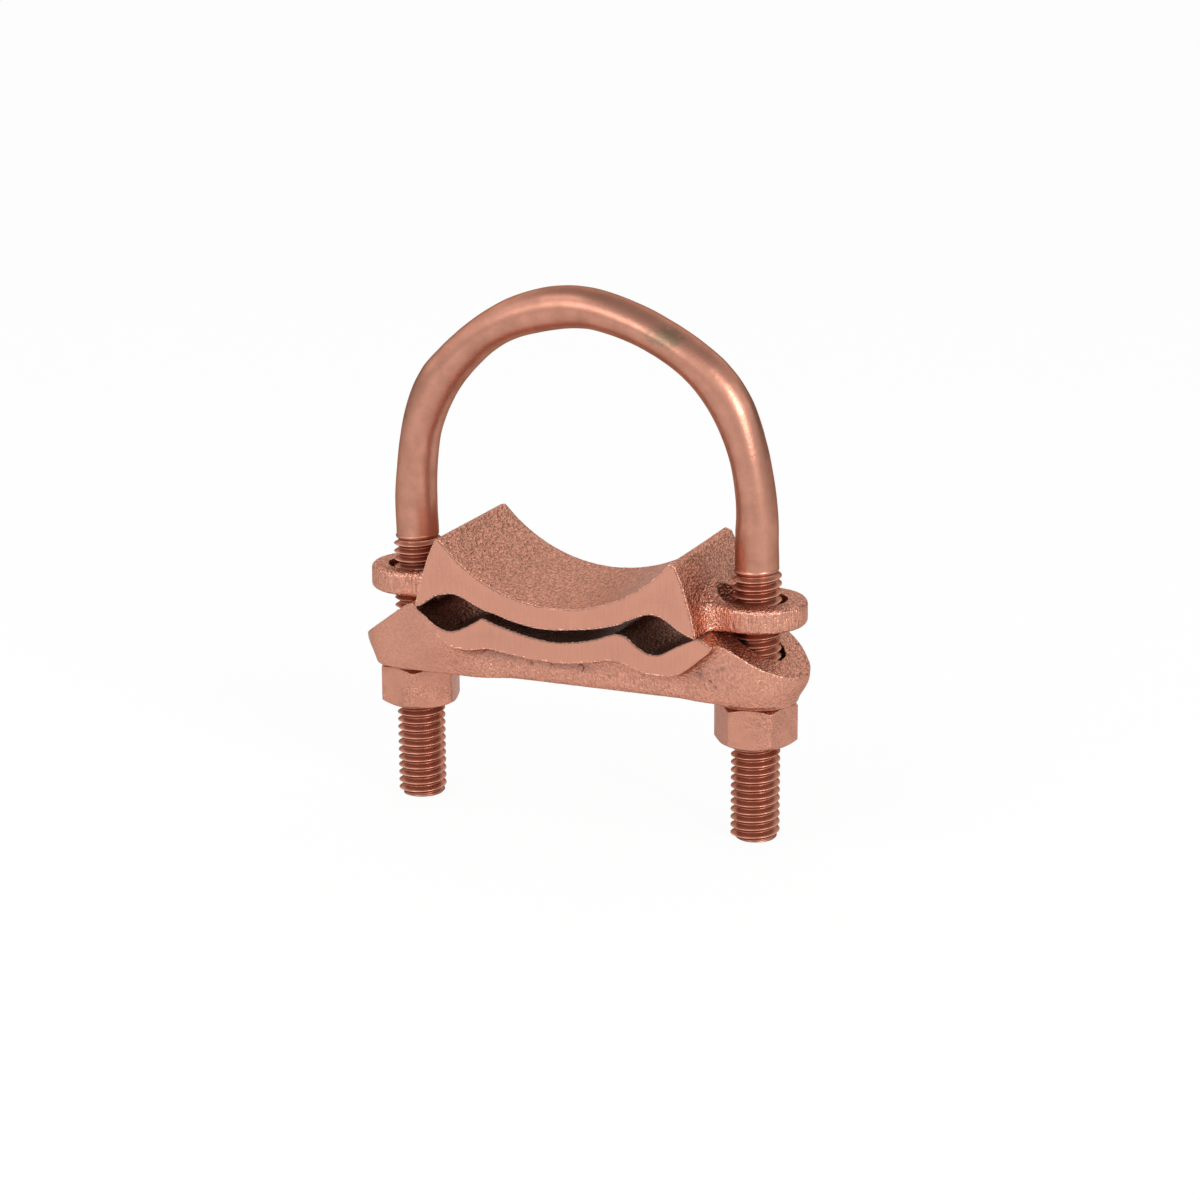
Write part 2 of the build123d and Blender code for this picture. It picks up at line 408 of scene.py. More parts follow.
saddle = {
    "seatFront": (0.07, -0.37, 31.05),  # the seat arc's centre and radius at the front face
    "seatBack": (0.2, 0.6, 31.4),
    "leftFlank": ((-23.4, -20.0), (-24.6, -20.3), (-26.3, -24.0), (-27.6, -28.0), (-28.6, -31.5),
                  (-29.4, -34.4)),
    "rightFlank": ((23.7, -20.45), (24.9, -20.9), (26.3, -24.0), (27.5, -28.0), (28.5, -31.5),
                   (29.2, -34.7)),
    "under": ((-29.4, -34.3), (-27.9, -33.9), (-26.3, -32.8), (-24.6, -31.7), (-23.2, -31.3),
              (-21.5, -31.0), (-19.8, -31.2), (-18.0, -32.0), (-16.2, -32.85), (-14.4, -33.55),
              (-12.0, -34.1), (-9.0, -35.0), (-6.0, -35.6), (-3.0, -35.95), (0.0, -35.9),
              (3.0, -35.6), (6.0, -35.2), (9.0, -34.7), (12.0, -33.9), (13.6, -33.4),
              (15.0, -32.6), (16.5, -32.0), (18.2, -31.2), (19.4, -30.85), (20.5, -30.8),
              (21.7, -31.0), (23.2, -31.75), (25.0, -32.9), (27.0, -34.0), (29.1, -34.7)),
    "lugLevels": (-34.35, -29.6),
    "lugCentres": (-35.75, 35.95),
    "lugRadii": (9.2, 9.45),
    "lugRim": 0.95,
    "lugBlend": 5.5,
    "slot": (28.04, 41.6, 11.0),  # inner end, outer end and width
    "wearFrom": -0.45,  # edges that face down more than this stay dull
    "trimmed": 1.0,
    "trimmedEnds": (-1, 1),
}
keeper = {
    "leftSlope": ((-46.9, -45.2), (-40.0, -40.3), (-33.6, -35.65)),
    "frontSlope": ((31.3, -35.15), (38.0, -39.3), (46.9, -44.7)),
    "backSlope": ((32.4, -34.9), (38.4, -38.7), (46.9, -44.0)),
    "slopeFoot": -46,
    "top": ((-31.6, -34.5), (-30.7, -34.22), (-30.0, -34.5), (-29.3, -35.1), (-27.6, -35.9),
            (-25.9, -37.0), (-24.2, -37.85), (-22.0, -38.35), (-20.0, -37.9), (-18.2, -37.0),
            (-16.5, -36.05), (-15.5, -35.35), (-14.9, -35.05), (-14.2, -35.15), (-13.1, -35.6),
            (-11.4, -36.15), (-8.9, -36.75), (-6.0, -37.45), (-3.0, -37.9), (0.3, -38.15),
            (3.0, -37.9), (6.1, -37.35), (9.0, -36.55), (11.4, -35.6), (12.3, -35.3),
            (13.3, -35.15), (14.4, -35.3), (15.5, -35.8), (16.9, -36.95), (18.2, -37.65),
            (19.4, -38.25), (20.6, -38.4), (22.0, -38.15), (23.6, -37.3), (25.3, -36.3),
            (27.0, -35.45), (28.5, -34.7), (29.4, -34.35), (30.3, -34.5)),
    "flange": ((-22.6, -33.0), (-22.3, -37.6), (-21.2, -39.8), (-19.4, -41.0), (-17.2, -41.6),
               (-13.5, -41.2), (-9.0, -41.7), (-5.0, -42.15), (1.7, -42.3), (7.5, -41.5),
               (12.3, -40.6), (16.0, -41.5), (19.2, -42.4), (22.7, -42.5), (25.4, -41.9),
               (27.4, -40.65), (30.0, -38.4), (32.2, -36.2), (33.4, -33.0)),
    "bottom": -48.5,
    "footRadius": 10.0,
    "draft": 4.0,
    "edgeRadius": (1.6, 4.2),  # along the sides and round the ends
    "edgeWidens": (33, 10),
    "flangeBlend": 3.2,
    # inner end, level where it leaves the face, its lean, and how soft the bend is
    "ramps": ((-16.2, -41.4, 0.62, 1.2), (29.0, -35.6, 0.5, 5.0)),
    "rampStop": (4, 0.8, 3.0),  # how deep the inner end is, its lean, and how soft its bend
    "rampEnd": 41.0,
    "rampBlend": 3.0,
    "taper": (26.0, 0.40),  # where the ends start to narrow, and by how much
    "pad": (7.7, 1.2),
    "padBlend": 3.0,
    "holeRadius": 5.55,
    # small pits in the front wall: place, reach and depth
    "pits": ((3.8, -44.2, 0.55, 0.5), (-2.9, -44.2, 0.4, 0.35), (-6.7, -44.6, 0.35, 0.3),
             (28.3, -42.7, 0.4, 0.35), (28.7, -41.6, 0.3, 0.3), (30.5, -43.8, 0.35, 0.35),
             (32.1, -41.4, 0.3, 0.3), (33.1, -40.9, 0.35, 0.3), (31.5, -44.8, 0.3, 0.3),
             (9.5, -45.4, 0.3, 0.25), (-11.5, -43.6, 0.3, 0.25)),
    # painted shade in the front wall under the flange lip, which the speckle breaks into stipple:
    # middle, half width, half height and strength
    "lipShade": ((-11.0, -42.8, 5.5, 1.2, 1.1), (1.0, -44.0, 6.0, 0.8, 0.8),
               (29.5, -42.8, 3.0, 1.6, 0.35)),
    "frontWall": -4,
    "pitShade": 2.2,
    "wearFrom": 0.1,
    "trimmed": 0.5,
    "trimmedEnds": (1,),
    "wallGrain": (0.6, 0.3, 0.3),  # grain left on the walls, and the normals' Z where it gets full
    "leftGrain": (0.4, -26, 6),  # grain left at the left end, and where it gets full
}


def gridRound(node):
    low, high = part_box(node)
    step, margin = casting["voxel"], casting["margin"]
    axes = []
    for a, b in zip(low, high):
        first, last = np.floor((a / mm - margin) / step), np.ceil((b / mm + margin) / step)
        axes.append(np.arange(first, last + 1) * step)
    return axes


def saddleField(x, y, z):
    # distance to the saddle's skin, less than zero inside it
    aside, below, half = casting["aside"], casting["below"], casting["halfDepth"]
    gridX, gridY, gridZ = np.meshgrid(x, y, z, indexing="ij", sparse=True)
    share = (gridY + half) / (2 * half)
    ends = zip(saddle["seatFront"], saddle["seatBack"])
    centreX, centreZ, radius = (a + (b - a) * share for a, b in ends)
    seat = radius - np.hypot(gridX - centreX, gridZ - centreZ)
    left, right = (curveThrough(saddle[flank][1:]) for flank in ("leftFlank", "rightFlank"))
    block = [saddle["leftFlank"][0]] + left + [(left[-1][0], -aside), (right[-1][0], -aside)]
    block += right[::-1] + [saddle["rightFlank"][0]]
    body = np.maximum(outlineField(block, x, z), seat)
    bottom, top = saddle["lugLevels"]
    slab = np.abs(gridZ - (bottom + top) / 2) - (top - bottom) / 2
    lugs = [roundedBoth(np.hypot(gridX - centre, gridY) - radius, slab, saddle["lugRim"])
            for centre, radius in zip(saddle["lugCentres"], saddle["lugRadii"])]
    whole = softUnion(body, np.minimum(*lugs), saddle["lugBlend"])
    inner, outer, width = saddle["slot"]
    reach = (outer - inner - width) / 2
    along = np.maximum(np.abs(np.abs(gridX) - (inner + outer) / 2) - reach, 0)
    slot = np.hypot(along, gridY) - width / 2
    whole = np.maximum(whole, -np.maximum(slot, -body))
    under = curveThrough(saddle["under"])
    floor = [(-aside, bottom), (under[0][0] - 0.05, bottom)] + under
    floor += [(under[-1][0] + 0.4, bottom), (aside, bottom), (aside, below), (-aside, below)]
    return np.maximum(np.maximum(whole, -outlineField(floor, x, z)), np.abs(gridY) - half)


def keeperField(x, y, z):
    aside, half, bottom = casting["aside"], casting["halfDepth"], keeper["bottom"]
    gridX, gridY, gridZ = np.meshgrid(x, y, z, indexing="ij", sparse=True)
    side = np.abs(gridX)
    share = (gridY + half) / (2 * half)
    foot = keeper["slopeFoot"]
    above = [outlineField(curveThrough(keeper["leftSlope"] + keeper["top"] + keeper[slope])
                          + [(aside, foot), (aside, 0), (-aside, 0), (-aside, foot)], x, z)
             for slope in ("frontSlope", "backSlope")]
    above = above[0] + (above[1] - above[0]) * share
    flange = curveThrough(keeper["flange"])
    faces = np.abs(gridY) - half
    lip = np.maximum(outlineField(flange + [(flange[-1][0], 0), (flange[0][0], 0)], x, z), faces)
    axle = np.hypot(side - legOffset / mm, gridY)
    away = np.hypot(np.maximum(side - legOffset / mm, 0), gridY)
    wall = away - keeper["footRadius"] - (gridZ - bottom) * tan(radians(keeper["draft"]))
    low, high = keeper["edgeRadius"]
    start, length = keeper["edgeWidens"]
    edge = low + (high - low) * np.clip((side - start) / length, 0, 1)
    bar = roundedBoth(wall, bottom - gridZ, edge)
    start, narrowing = keeper["taper"]
    depth, stopLean, stopBend = keeper["rampStop"]
    for inner, level, lean, bend in keeper["ramps"]:
        ramp = softMeet(faces, tilted(faces, level - gridZ, lean), bend)
        ramp = softMeet(ramp, tilted(faces, side - start, narrowing), bend)
        stop = tilted((inner - gridX) * (1 if inner > 0 else -1), faces + depth, stopLean)
        ramp = softMeet(softMeet(ramp, stop, stopBend), side - keeper["rampEnd"], stopBend)
        bar = softUnion(bar, np.maximum(ramp, bottom - gridZ), keeper["rampBlend"])
    whole = np.maximum(softUnion(bar, lip, keeper["flangeBlend"]), faces)
    whole = np.maximum(np.maximum(whole, -above), bottom - gridZ)
    radius, height = keeper["pad"]
    pad = np.maximum(axle - radius, np.abs(gridZ - bottom) - height)
    whole = softUnion(whole, pad, keeper["padBlend"])
    whole = np.maximum(whole, bottom - height - gridZ)
    return np.maximum(whole, keeper["holeRadius"] - axle)


def castPiece(name, node, sizes, fieldOf, contour, material):
    # contour is the outline of the grooves, which painted shade darkens
    axes = gridRound(node)
    step = casting["voxel"]
    field = fieldOf(*axes).astype(np.float32)
    spots, quads = skinOf(field)
    wear = fieldAt(blurred(field, casting["wearReach"]) - field, spots)
    # painted shade: how deep each point lies in a hollow or corner, which darkens its colour
    hollowShade = fieldAt(blurred(field, casting["cavityReach"]) - field, spots)
    points = np.array([axis[0] for axis in axes]) + spots * step
    mesh = bpy.data.meshes.new(name)
    mesh.from_pydata((points * mm).tolist(), [], quads.tolist())
    mesh.update()
    normals = np.zeros(len(points) * 3)
    mesh.vertex_normals.foreach_get("vector", normals)
    normals = normals.reshape(-1, 3)
    acrossAt, depthAt, levelAt = points.T
    upward = normals[:, 2]
    inward = np.clip((casting["halfDepth"] - np.abs(depthAt)) / casting["grainEdge"], 0, 1)
    shallow, square = casting["groundFace"]
    ground = ((inward < shallow) & (np.abs(normals[:, 1]) > square)).astype(float)
    lift = np.zeros(len(points))
    for waves, height in casting["grainWaves"]:
        lift += [height * noise.noise(Vector(spot) * waves) for spot in points]
    if sizes is keeper:
        front = (depthAt < keeper["frontWall"]) * (1 - ground)
        for x, z, reach, depth in keeper["pits"]:
            pit = np.exp(-(np.hypot(acrossAt - x, levelAt - z) / reach) ** 2) * front
            lift -= depth * pit
            hollowShade -= keeper["pitShade"] * pit
        # painted shade under the flange lip
        for x, z, wide, high, strength in keeper["lipShade"]:
            hollowShade -= strength * front * np.exp(-((acrossAt - x) / wide) ** 2
                                                - ((levelAt - z) / high) ** 2)
    moved = points + normals * (lift * inward)[:, None]
    mesh.vertices.foreach_set("co", (moved * mm).ravel())
    line = np.array(curveThrough(contour))
    gap = np.abs(levelAt - np.interp(acrossAt, line[:, 0], line[:, 1]))
    strength, fade, halfLength = casting["grooveShade"]
    grooveShadeMask = np.clip(strength - gap / fade, 0, 1) * (np.abs(acrossAt) < halfLength)
    nearest, halfLength, taken = casting["unrubbed"]
    wear = wear * np.clip((upward - sizes["wearFrom"]) / casting["wearFade"], 0, 1)
    wear = wear * (1 - taken * (gap < nearest) * (np.abs(acrossAt) < halfLength))
    steep, fade = casting["upright"]
    upright = np.clip((steep - np.abs(upward)) / fade, 0, 1)
    start, length = casting["trim"]
    outward = np.max([side * acrossAt for side in sizes["trimmedEnds"]], axis=0)
    trimmed = upright * np.clip((outward - start) / length, 0, 1) * (1 - ground) * sizes["trimmed"]
    grainy = np.ones(len(points))
    if sizes is keeper:
        for along, (least, start, length) in ((upward, keeper["wallGrain"]),
                                              (acrossAt, keeper["leftGrain"])):
            grainy *= least + (1 - least) * np.clip((along - start) / length, 0, 1)
    grainy *= 1 - casting["trimSmooth"] * trimmed
    marks = {"grainy": grainy, "wear": wear, "hollowShade": hollowShade, "ground": ground,
             "grooveShadeMask": grooveShadeMask, "trimmed": trimmed}
    for title, values in marks.items():
        markPoints(mesh, title, values)
    mesh.update()
    print(name, len(points), "points")
    newPiece(name, mesh, node, material)


nut = {
    "acrossFlats": 14.29 * mm,
    "height": 8.33 * mm,
    "top": -49.7 * mm,
    "faceRadius": 6.7 * mm,
    "cornerRadius": 0.8 * mm,
    "chamferAngle": 30.0,
    "boreRadius": 4.84 * mm,
    "countersink": 0.45 * mm,
    "columns": 192,
    # rows of points as shares of the flat face, of its chamfer and of a side
    "faceRows": (0.3, 0.6, 0.85, 0.97, 1.0),
    "chamferRows": (0.06, 0.2, 0.5, 0.8, 0.94, 1.0),
    "sideRows": (0.02, 0.06, 0.3, 0.5),
    "pieces": {"nut_left": ("nutLeftHex", -1, 74.5), "nut_right": ("nutRightHex", 1, 40.5)},
}


def hexRadius(angle):
    inner, corner = nut["acrossFlats"] / 2, nut["cornerRadius"]
    off = abs((angle + pi / 6) % (pi / 3) - pi / 6)
    centre = (inner - corner) / cos(pi / 6)
    flatEnd = (inner - corner) * tan(pi / 6)
    if inner * tan(off) <= flatEnd:
        return inner / cos(off)
    away = pi / 6 - off
    return centre * cos(away) + sqrt(max(0, corner ** 2 - (centre * sin(away)) ** 2))


def nutMesh(name, x, turnAngle):
    points, faces = [], []
    top, bottom = nut["top"], nut["top"] - nut["height"]
    bore, face = nut["boreRadius"], nut["faceRadius"]
    rim = bore + nut["countersink"]
    slope = tan(radians(nut["chamferAngle"]))
    for column in range(nut["columns"]):
        angle = 2 * pi * column / nut["columns"]
        outer = hexRadius(angle)
        fall = (outer - face) * slope
        # radius and depth from the middle of the bore to the middle of the side
        rows = [(bore, nut["height"] / 2), (bore, nut["countersink"]), (rim, 0)]
        rows += [(rim + share * (face - rim), 0) for share in nut["faceRows"]]
        rows += [(face + share * (outer - face), fall * share) for share in nut["chamferRows"]]
        rows += [(outer, fall + share * (nut["height"] - 2 * fall)) for share in nut["sideRows"]]
        ring = [(r, top - d) for r, d in rows] + [(r, bottom + d) for r, d in reversed(rows[1:-1])]
        for r, z in ring:
            points.append((x + r * cos(angle + turnAngle), r * sin(angle + turnAngle), z))
    count = len(ring)
    for column in range(nut["columns"]):
        after = (column + 1) % nut["columns"]
        for row in range(count):
            follow = (row + 1) % count
            faces.append([column * count + row, column * count + follow,
                          after * count + follow, after * count + row])
    return meshFrom(name, points, faces)


def addNode(material, kind, inputs=None, **settings):
    node = material.node_tree.nodes.new("ShaderNode" + kind)
    for key, value in settings.items():
        setattr(node, key, value)
    for socket, value in (inputs or {}).items():
        if isinstance(value, bpy.types.NodeSocket):
            plug(material, value, node.inputs[socket])
        else:
            node.inputs[socket].default_value = value
    return node


def plug(material, output, socket):
    material.node_tree.links.new(output, socket)


def stretched(material, scale):
    # the piece's own coordinates, in waves per mm
    place = addNode(material, "TexCoord").outputs["Object"]
    size = tuple(part / mm for part in scale)
    return addNode(material, "Mapping", {"Vector": place, "Scale": size}).outputs[0]


def ripple(material, scale, detail=3.0, roughness=0.5, distortion=0.0):
    if not isinstance(scale, tuple):
        scale = (scale,) * 3
    inputs = {"Vector": stretched(material, scale), "Scale": 1.0, "Detail": detail,
              "Roughness": roughness, "Distortion": distortion}
    return addNode(material, "TexNoise", inputs).outputs[0]


def ranged(material, value, low, high, start=0.0, end=1.0):
    inputs = {"Value": value, 1: low, 2: high, 3: start, 4: end}
    return addNode(material, "MapRange", inputs).outputs[0]


def sums(material, operation, first, second):
    return addNode(material, "Math", {0: first, 1: second}, operation=operation).outputs[0]


def between(material, share, first, second):
    return addNode(material, "Mix", {0: share, 2: first, 3: second}).outputs[0]


def blended(material, share, first, second):
    inputs = {0: share, 6: first, 7: second}
    return addNode(material, "Mix", inputs, data_type="RGBA").outputs[2]


def toned(material, colour, height, tone, mask):
    # lightens and darkens a colour by a height, where the mask is 1
    shade = between(material, mask, 1.0, ranged(material, height, *tone))
    return addNode(material, "VectorMath", {0: colour, 3: shade}, operation="SCALE").outputs[0]


def embossed(material, height, depth, under=None):
    # relief of a height between 0 and 1, its depth in mm, on top of another relief
    inputs = {"Height": height, "Distance": depth * mm, "Strength": 1.0}
    if under:
        inputs["Normal"] = under
    return addNode(material, "Bump", inputs).outputs[0]


def marked(material, *titles):
    return [addNode(material, "Attribute", attribute_name=title).outputs["Fac"] for title in titles]


def metalMaterial(name, edgeTint):
    # the tint is what the metal reflects at a glancing angle
    material = bpy.data.materials.new(name)
    material.use_nodes = True
    shader = material.node_tree.nodes["Principled BSDF"]
    shader.inputs["Metallic"].default_value = 1
    shader.inputs["Specular Tint"].default_value = edgeTint
    return material, shader


castLook = {  # scales are in waves per mm, depths in mm
    "copper": (0.61, 0.285, 0.2, 1),
    "dull": (0.36, 0.19, 0.15, 1),  # tarnish, and the colour of the painted shade in hollows and corners
    # colour of rubbed edges, and of the painted highlights on grain tops and thread crests
    "rubbedAndHighlight": (0.86, 0.50, 0.37, 1),
    "edgeTint": (0.7, 0.6, 0.55, 1),
    "grooveShade": (0.33, 0.19, 0.15, 1),  # painted shade deep in the grooves
    "tarnish": (0.12, 0.35, 0.7, 0.18),  # scale, the range of the noise, and the share of dull
    "grain": ((2.3, 1.15, 1.95), 0.55),
    "worms": (1.5, 0.5, 0.8, 0.6),  # detail, roughness, distortion and share of the grain
    "pebbles": (1.1, 0.8, 0.42),  # size against the grain's scale, width and height
    # a tone is a height's range, then the shade at its low and its high end
    # the grain's tone is partly its own colour and partly painted highlight on grain tops and
    # painted shade between them
    "grainTone": (0.36, 0.66, 0.76, 1.42),
    "fineScale": 2.6,  # against the grain's
    "fineTone": (0.32, 0.68, 0.9, 1.1),
    "lines": ((4.5, 0.4, 0.22), 0.012),  # grinding marks
    "lineTone": (0.3, 0.7, 0.94, 1.05),
    "streaks": ((3.4, 3.4, 0.3), 0.2),  # on the trimmed ends
    "streakTone": (0.34, 0.66, 0.84, 1.2),
    "speckle": (0.35, 0.65, -0.25, 0.25),
    # range of the painted hollow shade with its speckle, and the share of dull it mixes in
    "shadeAndSpeckle": (-0.15, -0.8, 0.0, 0.75),
    # painted highlight on the grain's tops, as a share of the grain
    "grainTopHighlight": 0.12,
    "worn": (0.09, 0.15, 0.0, 0.9),
    "grooveShadeShare": 0.93,
    "roughness": (0.3, 0.7, 0.24, 0.4),
    "groundRoughness": 0.04,  # more on the ground faces
}


def castMaterial():
    material, shader = metalMaterial("castCopper", castLook["edgeTint"])
    wear, hollowShade, ground, grooveShadeMask, trimmed, grainy = marked(
        material, "wear", "hollowShade", "ground", "grooveShadeMask", "trimmed", "grainy")
    scale, depth = castLook["grain"]
    detail, coarseness, distortion, share = castLook["worms"]
    worms = ripple(material, scale, detail, coarseness, distortion)
    size, width, height = castLook["pebbles"]
    inputs = {"Vector": stretched(material, scale), "Scale": size, "Randomness": 1.0}
    pebbles = addNode(material, "TexVoronoi", inputs, feature="SMOOTH_F1").outputs["Distance"]
    grain = sums(material, "ADD", sums(material, "MULTIPLY", worms, share),
                 ranged(material, pebbles, 0.0, width, height, 0.0))
    fine = ripple(material, tuple(castLook["fineScale"] * part for part in scale), 1.0)
    lineScale, lineDepth = castLook["lines"]
    lines = ripple(material, lineScale, 2.0)
    streakScale, streakDepth = castLook["streaks"]
    streaks = ripple(material, streakScale, 1.5, 0.5, 0.3)
    rough = sums(material, "MULTIPLY", grainy, sums(material, "SUBTRACT", 1.0, ground))

    broadScale, low, high, share = castLook["tarnish"]
    broad = ripple(material, broadScale, 3.0, 0.55)
    share = ranged(material, broad, low, high, 0.0, share)
    colour = blended(material, share, castLook["copper"], castLook["dull"])
    for height, tone, mask in ((grain, "grainTone", rough), (fine, "fineTone", rough),
                               (lines, "lineTone", ground), (streaks, "streakTone", trimmed)):
        colour = toned(material, colour, height, castLook[tone], mask)
    # painted shade in hollows and corners, broken up by a fine speckle, darkens the colour towards
    # dull
    shadeAndSpeckle = sums(material, "ADD", hollowShade, ranged(material, fine, *castLook["speckle"]))
    share = ranged(material, shadeAndSpeckle, *castLook["shadeAndSpeckle"])
    colour = blended(material, share, colour, castLook["dull"])
    # worn edges, and a painted highlight on the grain's tops, lighten the colour towards rubbed
    worn = sums(material, "MULTIPLY", grain, castLook["grainTopHighlight"])
    share = ranged(material, sums(material, "ADD", wear, worn), *castLook["worn"])
    colour = blended(material, share, colour, castLook["rubbedAndHighlight"])
    # painted shade along the grooves
    share = sums(material, "MULTIPLY", grooveShadeMask, castLook["grooveShadeShare"])
    colour = blended(material, share, colour, castLook["grooveShade"])
    plug(material, colour, shader.inputs["Base Color"])

    extra = sums(material, "MULTIPLY", ground, castLook["groundRoughness"])
    finish = sums(material, "ADD", ranged(material, fine, *castLook["roughness"]), extra)
    plug(material, finish, shader.inputs["Roughness"])
    relief = None
    for height, mask, depth in ((grain, rough, depth), (streaks, trimmed, streakDepth),
                                (lines, ground, lineDepth)):
        relief = embossed(material, sums(material, "MULTIPLY", height, mask), depth, relief)
    plug(material, relief, shader.inputs["Normal"])
    return material


rodLook = {
    "copper": (0.55, 0.262, 0.186, 1),
    "dull": (0.44, 0.205, 0.143, 1),
    "bare": (0.23, 0.185, 0.12, 1),
    # painted shade down the thread flanks and in the roots; also the colour of two worn spots
    "root": (0.43, 0.18, 0.125, 1),
    "edgeTint": (0.5, 0.4, 0.36, 1),
    "mottle": (0.22, 4.0, 0.6),  # scale, detail and roughness
    "mottleShare": (0.35, 0.68),
    "rootShadeShare": 0.85,
    "crestHighlightShare": 0.75,
    "scuff": (0.9, 3.0, 0.6),
    "scuffWidth": (0.3, 0.7, -0.5, 0.5),
    # worn places: middle, size along X, Y and Z in mm, colour
    "worn": (((18.3, -3.4, 19.9), (3.6, 2.6, 1.7), "bare"),
             ((22.2, -3.6, 15.4), (0.9, 0.8, 0.5), "root"),
             ((-36.6, -3.6, 0.5), (0.9, 1.0, 1.2), "bare"),
             ((-23.0, -3.5, 16.5), (0.5, 0.5, 0.5), "root")),
    "wornEdge": (1.35, 0.55, 0.0, 0.7),
    "roughness": (0.3, 0.7, 0.33, 0.43),
    "relief": (1.6, 0.03),
}


def rodMaterial():
    material, shader = metalMaterial("rodCopper", rodLook["edgeTint"])
    mottle = ripple(material, *rodLook["mottle"])
    root, crest = marked(material, "root", "crest")
    share = ranged(material, mottle, *rodLook["mottleShare"])
    colour = blended(material, share, rodLook["copper"], rodLook["dull"])
    # painted shade down the thread flanks and in the roots
    share = sums(material, "MULTIPLY", root, rodLook["rootShadeShare"])
    colour = blended(material, share, colour, rodLook["root"])
    # painted highlight on the thread crests
    share = sums(material, "MULTIPLY", crest, rodLook["crestHighlightShare"])
    colour = blended(material, share, colour, castLook["rubbedAndHighlight"])
    scuff = ranged(material, ripple(material, *rodLook["scuff"]), *rodLook["scuffWidth"])
    for middle, size, stain in rodLook["worn"]:
        place = stretched(material, tuple(1 / part for part in size))
        middle = tuple(spot / part for spot, part in zip(middle, size))
        away = addNode(material, "VectorMath", {0: place, 1: middle}, operation="DISTANCE")
        away = sums(material, "ADD", away.outputs["Value"], scuff)
        share = ranged(material, away, *rodLook["wornEdge"])
        colour = blended(material, share, colour, rodLook[stain])
    plug(material, colour, shader.inputs["Base Color"])
    plug(material, ranged(material, mottle, *rodLook["roughness"]), shader.inputs["Roughness"])
    scale, depth = rodLook["relief"]
    relief = embossed(material, ripple(material, scale, 1.5), depth)
    plug(material, relief, shader.inputs["Normal"])
    return material


nutLook = {
    "edgeTint": (0.9, 0.85, 0.83, 1),
    "mottle": (0.35, 4.0, 0.6),
    "mottleShare": (0.35, 0.68, 0.0, 0.5),
    "grain": (2.6, 0.22),  # only in patches
    "grainTone": (0.34, 0.66, 0.76, 1.16),
    "patches": (0.16, 2.0),
    "patchEdge": (0.4, 0.6),
    "roughness": (0.3, 0.7, 0.32, 0.46),
}


def nutMaterial():
    material, shader = metalMaterial("nutCopper", nutLook["edgeTint"])
    scale, depth = nutLook["grain"]
    grain = ripple(material, scale, 1.5)
    patchy = ranged(material, ripple(material, *nutLook["patches"]), *nutLook["patchEdge"])
    share = ranged(material, ripple(material, *nutLook["mottle"]), *nutLook["mottleShare"])
    colour = blended(material, share, castLook["copper"], rodLook["dull"])
    colour = toned(material, colour, grain, nutLook["grainTone"], patchy)
    plug(material, colour, shader.inputs["Base Color"])
    plug(material, ranged(material, grain, *nutLook["roughness"]), shader.inputs["Roughness"])
    relief = embossed(material, sums(material, "MULTIPLY", grain, patchy), depth)
    plug(material, relief, shader.inputs["Normal"])
    return material


rodCopper, castCopper, nutCopper = rodMaterial(), castMaterial(), nutMaterial()

buildUBolt(rodCopper)
print("U-bolt built")
castPiece("saddleCasting", "saddle", saddle, saddleField, saddle["under"], castCopper)
castPiece("keeperCasting", "keeper_bar", keeper, keeperField, keeper["top"], castCopper)
print("castings built")
for node, (name, side, turn) in nut["pieces"].items():
    newPiece(name, nutMesh(name, side * legOffset, radians(turn)), node, nutCopper)
print("nuts built")

stage = {
    "floorSize": 12.0,
    "floorColour": (0.9, 0.9, 0.9, 1),
    "floorRoughness": 0.9,
    "cameraShare": 0.92,  # how much of the floor's white glows, in view and in the metal
    "mirrorShare": 0.02,
}


def buildFloor():
    mesh = bpy.data.meshes.new("floor")
    half, level = stage["floorSize"] / 2, cadLow.z
    corners = [(x * half, y * half, level) for x, y in ((-1, -1), (1, -1), (1, 1), (-1, 1))]
    mesh.from_pydata(corners, [], [(0, 1, 2, 3)])
    floor = bpy.data.objects.new("floor", mesh)
    bpy.context.scene.collection.objects.link(floor)
    material = bpy.data.materials.new("floorPaper")
    material.use_nodes = True
    nodes = material.node_tree.nodes
    shader = nodes["Principled BSDF"]
    shader.inputs["Base Color"].default_value = stage["floorColour"]
    shader.inputs["Roughness"].default_value = stage["floorRoughness"]
    path = addNode(material, "LightPath").outputs
    inView = sums(material, "MULTIPLY", path["Is Camera Ray"], stage["cameraShare"])
    inMetal = sums(material, "MULTIPLY", path["Is Glossy Ray"], stage["mirrorShare"])
    share = sums(material, "ADD", inView, inMetal)
    glow = addNode(material, "Emission").outputs[0]
    mix = addNode(material, "MixShader", {0: share, 1: shader.outputs[0], 2: glow})
    plug(material, mix.outputs[0], nodes["Material Output"].inputs["Surface"])
    mesh.materials.append(material)


def softBox(name, spot, aim, size, power):
    lamp = bpy.data.lights.new(name, "AREA")
    lamp.size = size
    lamp.energy = power
    box = bpy.data.objects.new(name, lamp)
    bpy.context.scene.collection.objects.link(box)
    box.location = spot
    box.rotation_mode = "QUATERNION"
    box.rotation_quaternion = (Vector(aim) - Vector(spot)).to_track_quat("-Z", "Y")


lamps = {  # place, what it points at, size and power
    "keyLight": ((-0.5, -0.4, 0.95), (0, 0, -0.03), 0.35, 1.15),
    "fillLight": ((0.8, -0.5, 0.4), (0, 0, -0.03), 0.3, 3.8),
    "frontLight": ((-0.2, -0.6, 0.3), (-0.12, -0.3, cadLow.z), 0.3, 0.95),
}
buildFloor()
for name, settings in lamps.items():
    softBox(name, *settings)

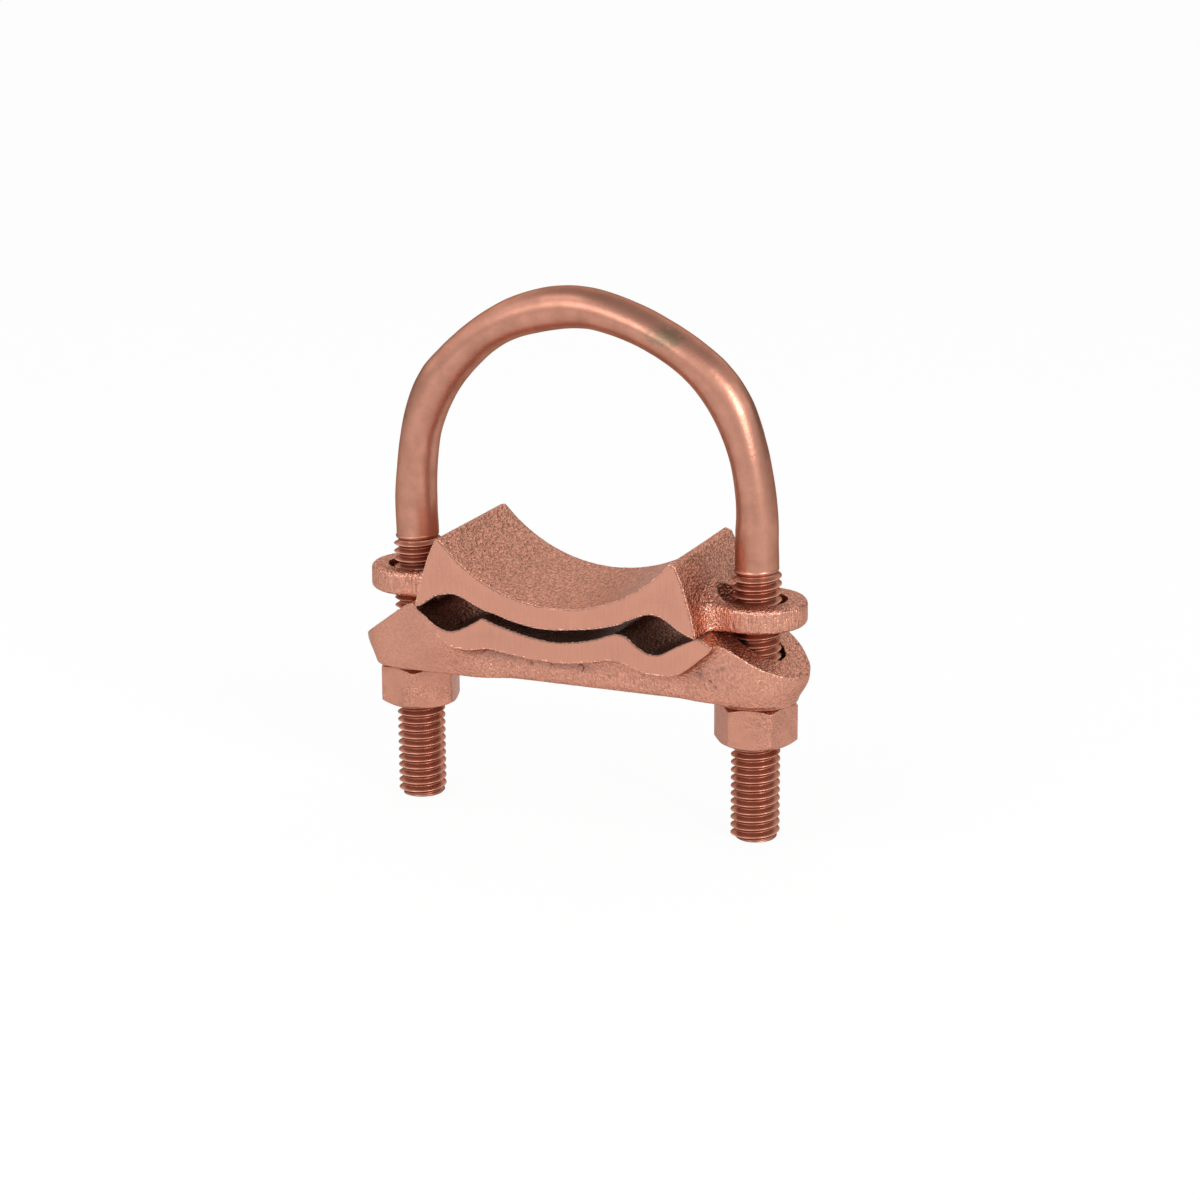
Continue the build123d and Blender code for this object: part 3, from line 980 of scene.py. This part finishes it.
studio = {  # strengths, and where each takes over, as parts of a direction
    "front": 0.45,
    "back": 0.12,
    "frontToBack": (-0.6, 0.8),
    "raised": 1.4,
    "raisedFrom": (0.1, 0.3),
    "above": 0.45,
    "aboveFrom": (0.45, 0.85),
    "rightSide": 0.1,  # a darker corner behind on the right
    "rightFrom": (0.32, 0.5),
    "behindFrom": (0.5, 0.8),
}


def buildWorld():
    world = bpy.data.worlds.new("studio")
    bpy.context.scene.world = world
    world.use_nodes = True
    sky = world.node_tree.nodes["Background"]
    place = addNode(world, "TexCoord").outputs["Generated"]
    way = addNode(world, "SeparateXYZ", {0: place}).outputs
    lit = ranged(world, way["Y"], *studio["frontToBack"], studio["front"], studio["back"])
    for band in ("raised", "above"):
        share = ranged(world, way["Z"], *studio[band + "From"])
        lit = between(world, share, lit, studio[band])
    side = ranged(world, way["X"], *studio["rightFrom"], 1.0, studio["rightSide"])
    side = between(world, ranged(world, way["Y"], *studio["behindFrom"]), 1.0, side)
    lit = sums(world, "MULTIPLY", lit, side)
    seen = addNode(world, "LightPath").outputs["Is Camera Ray"]
    sky.inputs["Color"].default_value = (1, 1, 1, 1)
    plug(world, between(world, seen, lit, 1.0), sky.inputs["Strength"])


buildWorld()

cameraSetup = {
    "azimuth": 23.1,
    "elevation": 15.65,
    "roll": -0.31,
    "target": (3.34 * mm, 0, -33.41 * mm),
    "distance": 630.45 * mm,
    "lens": 97.58,
    "sensor": 36,
    "clip": (0.01, 100),
}


def buildCamera():
    a, e, r = (radians(cameraSetup[key]) for key in ("azimuth", "elevation", "roll"))
    right = Vector((cos(a), sin(a), 0))
    back = Vector((sin(a) * cos(e), -cos(a) * cos(e), sin(e)))
    up = back.cross(right)
    tiltedRight = right * cos(r) + up * sin(r)
    tiltedUp = up * cos(r) - right * sin(r)
    lens = bpy.data.cameras.new("camera")
    lens.lens = cameraSetup["lens"]
    lens.sensor_width = cameraSetup["sensor"]
    lens.clip_start, lens.clip_end = cameraSetup["clip"]
    camera = bpy.data.objects.new("camera", lens)
    bpy.context.scene.collection.objects.link(camera)
    matrix = Matrix((tiltedRight, tiltedUp, back)).transposed().to_4x4()
    matrix.translation = Vector(cameraSetup["target"]) + back * cameraSetup["distance"]
    camera.matrix_world = matrix
    bpy.context.scene.camera = camera


buildCamera()
bpy.context.scene.view_settings.view_transform = "Standard"
print("stage set")
